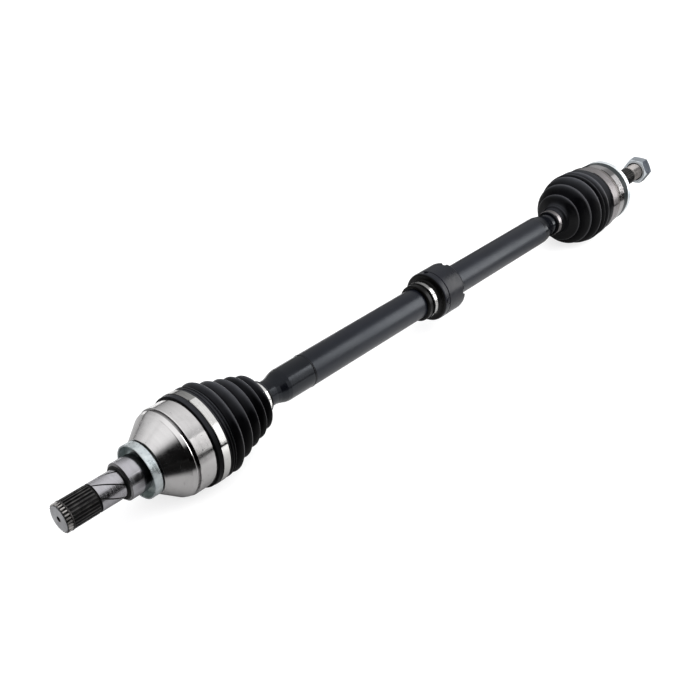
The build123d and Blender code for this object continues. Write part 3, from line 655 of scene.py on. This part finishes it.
def folds(extremes):
    """Bellows line through alternate crests and valleys."""
    points = []
    for (x0, r0), (x1, r1) in zip(extremes, extremes[1:]):
        count = max(6, int(abs(x1 - x0) / FOLD_STEP))
        for i in range(count):
            u = i / count
            wave = 0.5 - 0.5 * math.cos(math.pi * u)
            blend = (1 - FLATNESS) * wave + FLATNESS * u
            points.append((x0 + (x1 - x0) * u, r0 + (r1 - r0) * blend))
    points.append(extremes[-1])
    return points


def lowered(valleys):
    return [(x, r - VALLEY_MARGIN) for x, r in valleys]


def fold_depth(crests, valleys, x_from, x_to, plain):
    """Depth function between crest and valley lines; plain outside the folded length."""
    def depth(x, r):
        if x < x_from or x > x_to:
            return plain
        high, low = float(np.interp(x, *zip(*crests))), float(np.interp(x, *zip(*valleys)))
        return max(0.0, min(1.0, (r - low) / max(0.5, high - low)))

    return depth


def skin(outer, floor_radius):
    """Closed loop from an outer line and one a wall below it, kept above floor_radius(x)."""
    return outer + [(x, max(floor_radius(x), r - WALL)) for x, r in reversed(outer)]


def arc_length(a, centre, r):
    """Signed distance round the axis from the centre angle to a."""
    return ((a - centre + math.pi) % (2 * math.pi) - math.pi) * r


def seam(angle):
    """Mould parting line: a thin raised line along both sides of the piece."""
    def shift(x, r, a):
        for centre in (angle, angle + math.pi):
            d = abs(arc_length(a, centre, r))
            if d < SEAM_WIDTH:
                return x, r + SEAM_HEIGHT * (1 - d / SEAM_WIDTH)
        return x, r

    return shift


# ------------------------------------------------------------- inner boot
# outlines are (x, r), mm
INNER_SPLIT = 163.0     # the valley where the wide and narrow skins meet
INNER_COLLAR = [
    (127.25, 43.6), (127.7, 44.4), (132.1, 44.5), (132.4, 44.22), (139.8, 44.22), (140.1, 44.6),
    (141.5, 44.65), (142.0, 43.75), (142.6, 43.75), (143.1, 44.6), (144.5, 44.65), (145.0, 43.7),
    (145.5, 43.7), (146.0, 44.55), (146.4, 44.7),
]
WIDE_FOLDS = [(146.5, 44.7), (150.4, 40.6), (155.7, 44.7)]      # from a crest to a crest
NARROW_FOLDS = [
    (171.0, 38.9), (177.3, 30.4), (184.0, 34.8), (189.8, 25.8), (195.2, 31.8), (200.8, 22.6),
    (206.2, 27.8),
]
INNER_NECK = [
    (206.3, 27.8), (207.4, 26.8), (209.4, 19.0), (210.8, 16.9), (213.1, 16.1), (213.25, 15.62),
    (216.85, 15.62), (217.1, 16.2), (219.1, 16.2), (219.9, 15.3),
]


def inner_floor(x):
    if x <= 143.6:
        return 41.62
    if x <= 147.0:
        return 41.62 - (x - 143.6) * 0.35
    return 13.02


def build_inner_boot():
    """The wide and the narrow skin of the boot on the roller joint."""
    wide = (dense(INNER_COLLAR, step=0.25, rounding=1)
            + folds([*WIDE_FOLDS, (INNER_SPLIT + 0.3, 34.0)])[1:])
    narrow = (folds([(INNER_SPLIT - 0.1, 34.05), *NARROW_FOLDS])
              + dense(INNER_NECK, rounding=2)[1:])
    valleys = lowered([*WIDE_FOLDS[1::2], (INNER_SPLIT, 34.0), *NARROW_FOLDS[1::2]])
    depth = fold_depth(crests=WIDE_FOLDS[::2] + NARROW_FOLDS[::2],
                       valleys=[*valleys, (212.5, 15.0)], x_from=146.9, x_to=206.6, plain=0.42)
    return [lathe(name, skin(line, inner_floor), seam(0.5), depth)
            for name, line in (("boot_inner_wide", wide), ("boot_inner_narrow", narrow))]


# ------------------------------------------------------------- outer boot
OUTER_NECK = [
    (720.8, 14.7), (721.3, 15.5), (722.8, 15.5), (722.95, 15.22), (729.05, 15.22), (729.2, 15.6),
    (733.4, 15.8), (735.6, 16.8), (736.6, 18.2), (737.7, 18.7), (738.9, 18.4), (739.8, 18.8),
]
OUTER_FOLDS = [         # from the neck, then crest and valley in turn
    (740.0, 18.9), (747.6, 30.4), (750.8, 24.6), (761.8, 39.7), (764.9, 33.2), (778.0, 44.7),
    (780.8, 39.4), (785.5, 46.0), (789.2, 41.4), (796.0, 45.5),
]
OUTER_COLLAR = [
    (796.4, 45.4), (803.0, 45.3), (810.6, 44.3), (811.7, 43.4), (811.95, 43.02),
    (825.7, 43.02), (826.2, 42.6),
]


def outer_floor(x):
    if x >= 805.0:
        return 41.02
    if x <= 734.5:
        return 13.22
    return 13.4


def build_outer_boot():
    """The boot on the ball joint."""
    line = (dense(OUTER_NECK, rounding=2) + folds(OUTER_FOLDS)[1:]
            + dense(OUTER_COLLAR, rounding=2)[1:])
    valleys = [(739.0, -40.0), *lowered(OUTER_FOLDS[2::2]), (811.0, 41.0)]
    depth = fold_depth(crests=OUTER_FOLDS[1::2], valleys=valleys,
                       x_from=741.0, x_to=797.5, plain=0.36)
    return lathe("boot_outer", skin(line, outer_floor), seam(0.9), depth)


# ----------------------------------------------------------------- damper
DAMPER_OUTSIDE = [
    (449.5, 18.9), (449.9, 20.2), (450.7, 20.65), (455.4, 20.65), (456.1, 20.42), (463.8, 20.42),
    (464.3, 20.7), (466.2, 20.7), (467.4, 21.6), (467.9, 23.2), (468.3, 26.0), (469.4, 27.2),
    (470.6, 27.5), (476.1, 27.5), (476.35, 26.7), (476.95, 26.7), (477.2, 27.5), (502.6, 27.5),
    (504.4, 27.1), (505.0, 26.0),
]
DAMPER_BORE = [
    (505.0, 25.6), (505.0, 18.4), (504.4, 17.65), (470.0, 17.65), (466.0, 17.03), (449.5, 17.03),
]
# notches round the +X rim
NOTCH_ANGLES = (84, 174, 264, 354)
NOTCH_X, NOTCH_HALF, NOTCH_DEPTH = 500.5, 3.0, 1.7
NOTCH_PULL = 0.72       # share of the rim's length past NOTCH_X that a notch takes away
# oval pad on the -Y side of the -X rim, with a groove round it
PAD_X, PAD_ANGLE, PAD_HALF_LENGTH, PAD_HALF_WIDTH = 473.3, 172, 3.3, 4.6
PAD_HEIGHT, PAD_GROOVE, PAD_SHARE = 0.5, 1.1, 0.55      # share: the pad's part of the oval
# nick near the top of the -X rim
NICK_ANGLE, NICK_HALF, NICK_DEPTH = 76, 3.4, 1.6


def damper_shift(x, r, a):
    if x > NOTCH_X and r > 22.0:
        for degrees in NOTCH_ANGLES:
            d = abs(arc_length(a, math.radians(degrees), r))
            if d < NOTCH_HALF:
                k = min(1.0, (NOTCH_HALF - d) / 0.5) * min(1.0, (x - NOTCH_X) / 0.8)
                return x - (x - NOTCH_X) * NOTCH_PULL * k, r - NOTCH_DEPTH * k
    if 469.4 < x < 477.0 and r > 26.8:
        u = (x - PAD_X) / PAD_HALF_LENGTH
        v = arc_length(a, math.radians(PAD_ANGLE), r) / PAD_HALF_WIDTH
        q = math.sqrt(u * u + v * v)
        if q < PAD_SHARE:
            return x, r + PAD_HEIGHT
        if q < 1.0:
            across = (q - PAD_SHARE) / (1 - PAD_SHARE)
            return x, r - PAD_GROOVE * math.sin(math.pi * across)
    if 470.5 < x < 476.4 and r > 26.5:
        d = abs(arc_length(a, math.radians(NICK_ANGLE), r))
        if d < NICK_HALF:
            return x, r - NICK_DEPTH * min(1.0, (NICK_HALF - d) / 0.4)
    return x, r


def build_damper():
    loop = dense(DAMPER_OUTSIDE, step=0.4, rounding=1) + dense(DAMPER_BORE, step=1.2)
    return lathe("damper_body", loop, damper_shift)


boot_wide, boot_narrow = build_inner_boot()
boot_outer = build_outer_boot()
damper = build_damper()

for obj, material, slot in (
    (boot_wide, BOOT_RUBBER, "boot_rubber"),
    (boot_narrow, BOOT_RUBBER, "boot_rubber"),
    (boot_outer, OUTER_BOOT_RUBBER, "boot_rubber"),
    (damper, DAMPER_RUBBER, "damper_rubber"),
):
    obj.data.materials.append(material)
    smooth(obj, 40)
dress(damper, DAMPER_RUBBER, DAMPER_ZONES)

# (piece, frame part at the start, at the end, start x, end x), mm
for obj, first, second, start, end in (
    (boot_wide, "trunnion_bearing", "housing", INNER_SPLIT, WIDE_FOLDS[0][0]),
    (boot_narrow, "shaft", "trunnion_bearing", 211, 165),
    (boot_outer, "shaft", "bell", 745, 808),
    (damper, "shaft", "damper_weight", 464, 472),
):
    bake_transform(obj)
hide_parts("inner_boot")
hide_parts("inner_boot")
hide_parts("outer_boot")
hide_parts("damper_rubber")


# ------------------------------------------------------------------ studio
# (x in metres, brightness) of the floor as the axle reflects it
FLOOR_BOUNCE = [
    (0.0, 0.30), (0.14, 0.32), (0.30, 0.74), (0.62, 0.62), (0.78, 0.32), (0.93, 0.34), (1.0, 0.08),
]


def floor_material():
    """White to the camera, fading to grey toward the camera in reflections."""
    material = bpy.data.materials.new("studio_floor")
    material.use_nodes = True
    g = Graph(material.node_tree)
    bsdf = g.tree.nodes["Principled BSDF"]
    bsdf.inputs["Roughness"].default_value = 0.9
    bsdf.inputs["Specular IOR Level"].default_value = 0.0
    camera_ray = g.node("ShaderNodeLightPath").outputs["Is Camera Ray"]
    position = g.node("ShaderNodeNewGeometry").outputs["Position"]
    offset = g.node("ShaderNodeVectorMath", operation="SUBTRACT")
    offset.inputs[1].default_value = (0, 0, 0)
    g.feed(offset.inputs[0], position)
    toward = g.node("ShaderNodeVectorMath", operation="DOT_PRODUCT")
    toward.inputs[1].default_value = (*TOWARD_CAMERA, 0.0)
    g.feed(toward.inputs[0], offset.outputs[0])
    fade = g.span(toward.outputs["Value"], over=(0.012, 0.065), to=(1.0, 0.04))
    bounce = g.node("ShaderNodeFloatCurve")
    place_points(bounce.mapping, FLOOR_BOUNCE)
    bounce.mapping.update()
    g.feed(bounce.inputs["Value"], g.split(position)[0])
    reflected = g.times(fade, bounce.outputs[0])
    g.feed(bsdf.inputs["Base Color"], g.mix(camera_ray, reflected, (0.30, 0.30, 0.303)))
    # a glow only the camera sees keeps the floor white under the axle
    bsdf.inputs["Emission Color"].default_value = (1, 1, 1, 1)
    g.feed(bsdf.inputs["Emission Strength"], g.times(camera_ray, 0.76))
    return material


def build_floor():
    bpy.ops.mesh.primitive_plane_add(size=14, location=(0.45, 0, cad_lo.z - 0.0006))
    floor = bpy.context.object
    floor.name = "studio_floor"
    floor.data.materials.append(floor_material())


def build_world():
    """Soft light from above and beyond, dark low on the camera's side; white to the camera."""
    world = bpy.data.worlds.new("studio_world")
    bpy.context.scene.world = world
    world.use_nodes = True
    g = Graph(world.node_tree)
    g.tree.nodes.clear()
    output = g.node("ShaderNodeOutputWorld")
    room = g.node("ShaderNodeBackground")
    backdrop = g.node("ShaderNodeBackground")
    backdrop.inputs[0].default_value = (1, 1, 1, 1)
    backdrop.inputs[1].default_value = 1.0

    x, y, z = g.split(g.node("ShaderNodeTexCoord").outputs["Generated"])
    soft = "SMOOTHSTEP"
    toward = g.plus(g.times(x, TOWARD_CAMERA[0]), g.times(y, TOWARD_CAMERA[1]))
    low_dark = g.span(z, over=(0.50, 0.74), to=(0.012, 1.0), interpolation=soft)
    near = g.span(toward, over=(-0.04, 0.16), interpolation=soft)
    camera_side = g.plus(g.math("SUBTRACT", 1.0, near), g.times(near, low_dark))
    horizon = g.span(z, over=(-0.02, 0.12), to=(0.12, 1.0), interpolation=soft)
    height = g.span(z, over=(0.0, 0.92), to=(0.35, 0.98))
    low_x_end = g.span(x, over=(-0.32, 0.05), to=(1.30, 1.0), interpolation=soft)
    sky = g.times(g.times(g.times(camera_side, horizon), height), low_x_end)
    room.inputs[0].default_value = (0.985, 0.99, 1.0, 1)
    g.feed(room.inputs[1], sky)

    choice = g.node("ShaderNodeMixShader")
    g.feed(choice.inputs[0], g.node("ShaderNodeLightPath").outputs["Is Camera Ray"])
    g.feed(choice.inputs[1], room.outputs[0])
    g.feed(choice.inputs[2], backdrop.outputs[0])
    g.feed(output.inputs[0], choice.outputs[0])


def link_new(name, data):
    obj = bpy.data.objects.new(name, data)
    bpy.context.scene.collection.objects.link(obj)
    return obj


def build_sun():
    """Wide overhead fill that leaves no highlight."""
    data = bpy.data.lights.new("overhead_fill", "SUN")
    data.energy = 2.9
    data.angle = 1.3
    sun = link_new("overhead_fill", data)
    sun.rotation_euler = (math.radians(12), math.radians(-8), 0)
    sun.visible_glossy = False


def build_area(name, location, aim, size, size_y, energy):
    data = bpy.data.lights.new(name, "AREA")
    data.shape = "RECTANGLE"
    data.size, data.size_y, data.energy = size, size_y, energy
    light = link_new(name, data)
    light.location = location
    light.visible_camera = False
    light.rotation_mode = "QUATERNION"
    light.rotation_quaternion = (Vector(aim) - Vector(location)).to_track_quat("-Z", "Y")


def build_camera():
    """Looks down at the axle from the -X, -Y side."""
    right = Vector((0.6626, -0.7490, 0.0)).normalized()
    back = Vector((-0.6302, -0.5575, 0.5404)).normalized()
    up = back.cross(right).normalized()
    right = up.cross(back).normalized()
    data = bpy.data.cameras.new("camera")
    camera = link_new("camera", data)
    data.sensor_width = 36.0
    data.lens = 47.82857143
    data.clip_start = 0.01
    data.clip_end = 50
    aim = Vector((0.3385, 0, 0)) + 0.00302354 * right - 0.00494972 * up
    distance = 0.9388
    turn = Matrix((right, up, back)).transposed()
    camera.matrix_world = Matrix.Translation(aim + back * distance) @ turn.to_4x4()
    bpy.context.scene.camera = camera


build_floor()
build_world()
build_sun()
build_area("side_box", location=(1.23, -0.63, 0.46), aim=(0.60, 0, 0),
           size=0.52, size_y=0.95, energy=10.0)
build_area("near_card", location=(0.66, -0.45, 0.235), aim=(0.66, 0, 0.235),
           size=0.66, size_y=0.42, energy=1.2)
build_camera()
bpy.context.scene.view_settings.view_transform = "Standard"

bpy.context.view_layer.update()
